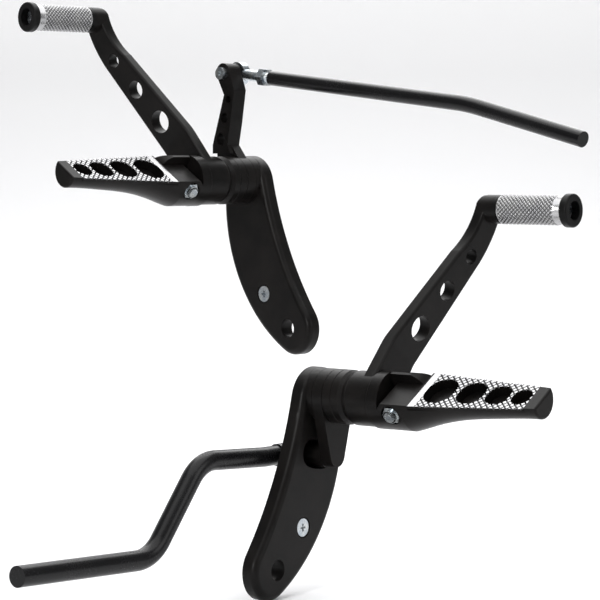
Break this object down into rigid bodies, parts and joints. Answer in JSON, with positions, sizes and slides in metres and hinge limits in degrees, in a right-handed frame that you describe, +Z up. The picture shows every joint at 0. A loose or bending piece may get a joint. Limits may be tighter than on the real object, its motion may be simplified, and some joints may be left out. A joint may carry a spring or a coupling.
{
  "type": "motorcycle forward controls",
  "caption": "Motorcycle forward foot controls: black brackets with bent drilled levers, knurled toe pegs, folding foot pegs with drilled pads, and brake and shift linkage rods.",
  "frame": {"origin": "centre of the right bracket's frame bolt hole, on the bracket's inner face", "axes": "+X outboard along the right frame bolt and hub, +Y forwards on the right side, +Z up; the left side lies above and behind, turned about +Z as it is laid out in the picture"},
  "size_m": [0.5763, 0.5121, 0.4681],
  "materials": {
    "black_casting": "satin black powder coat",
    "black_cap": "satin",
    "black_rod": "semi-gloss",
    "bright_aluminium": "knurled",
    "zinc_steel": "zinc plated",
    "bronze_bush": "plain"
  },
  "bodies": {
    "brackets": {"right_bracket": "black_casting", "right_bracket_screw": "zinc_steel", "right_pivot_bolt": "zinc_steel", "right_peg_mount": "black_casting", "left_bracket": "black_casting", "left_bracket_screw": "zinc_steel", "left_pivot_bolt": "zinc_steel", "left_peg_mount": "black_casting"},
    "right_lever": {"right_lever": "black_casting", "right_hub_spacer": "black_casting", "right_inner_bush": "bronze_bush", "right_outer_bush": "bronze_bush", "right_brake_arm": "black_casting", "right_brake_stud": "black_casting", "right_brake_washer": "zinc_steel", "right_toe_collar": "black_cap", "right_toe_sleeve": "bright_aluminium", "right_toe_cap": "black_cap", "right_toe_bolt": "zinc_steel"},
    "right_peg": {"right_peg": "black_casting", "right_peg_pad": "bright_aluminium", "right_peg_bolt": "zinc_steel", "right_peg_nut": "zinc_steel"},
    "right_rod": {"right_brake_eye": "black_rod", "right_brake_rod": "black_rod"},
    "left_lever": {"left_lever": "black_casting", "left_hub_spacer": "black_casting", "left_inner_bush": "bronze_bush", "left_outer_bush": "bronze_bush", "left_shift_arm": "black_casting", "left_rod_end_ball": "zinc_steel", "left_link_bolt": "zinc_steel", "left_link_nut": "zinc_steel", "left_toe_collar": "black_cap", "left_toe_sleeve": "bright_aluminium", "left_toe_cap": "black_cap", "left_toe_bolt": "zinc_steel"},
    "left_peg": {"left_peg": "black_casting", "left_peg_pad": "bright_aluminium", "left_peg_bolt": "zinc_steel", "left_peg_nut": "zinc_steel"},
    "left_rod": {"left_rod_end": "zinc_steel", "left_jam_nut": "zinc_steel", "left_shift_rod": "black_rod"}
  },
  "joints": [
    {"name": "right_lever_pivot", "type": "hinge", "parent": "brackets", "child": "right_lever", "pos_m": [0.0125, 0.0562, 0.1285], "axis": [-1, 0, 0], "range_deg": [0, 14]},
    {"name": "right_peg_fold", "type": "hinge", "parent": "brackets", "child": "right_peg", "pos_m": [0.0915, 0.05466, 0.13107], "axis": [0, -0.8572, -0.515], "range_deg": [0, 65]},
    {"name": "right_brake_rod_pivot", "type": "hinge", "parent": "right_lever", "child": "right_rod", "pos_m": [-0.0135, 0.0562, 0.0825], "axis": [-1, 0, 0], "range_deg": [-15, 1]},
    {"name": "left_lever_pivot", "type": "hinge", "parent": "brackets", "child": "left_lever", "pos_m": [-0.2172, 0.2414, 0.2903], "axis": [0.1616, 0.9869, 0], "range_deg": [-12, 12]},
    {"name": "left_peg_fold", "type": "hinge", "parent": "brackets", "child": "left_peg", "pos_m": [-0.22844, 0.16319, 0.29287], "axis": [-0.8459, 0.1385, 0.515], "range_deg": [0, 65]},
    {"name": "left_shift_rod_pivot", "type": "hinge", "parent": "left_lever", "child": "left_rod", "pos_m": [-0.22477, 0.24345, 0.3841], "axis": [0.1616, 0.9869, 0], "range_deg": [-13, 13]}
  ],
  "couplings": [
    {"joint": "right_brake_rod_pivot", "follows": "right_lever_pivot", "ratio": -1},
    {"joint": "left_shift_rod_pivot", "follows": "left_lever_pivot", "ratio": -1}
  ]
}
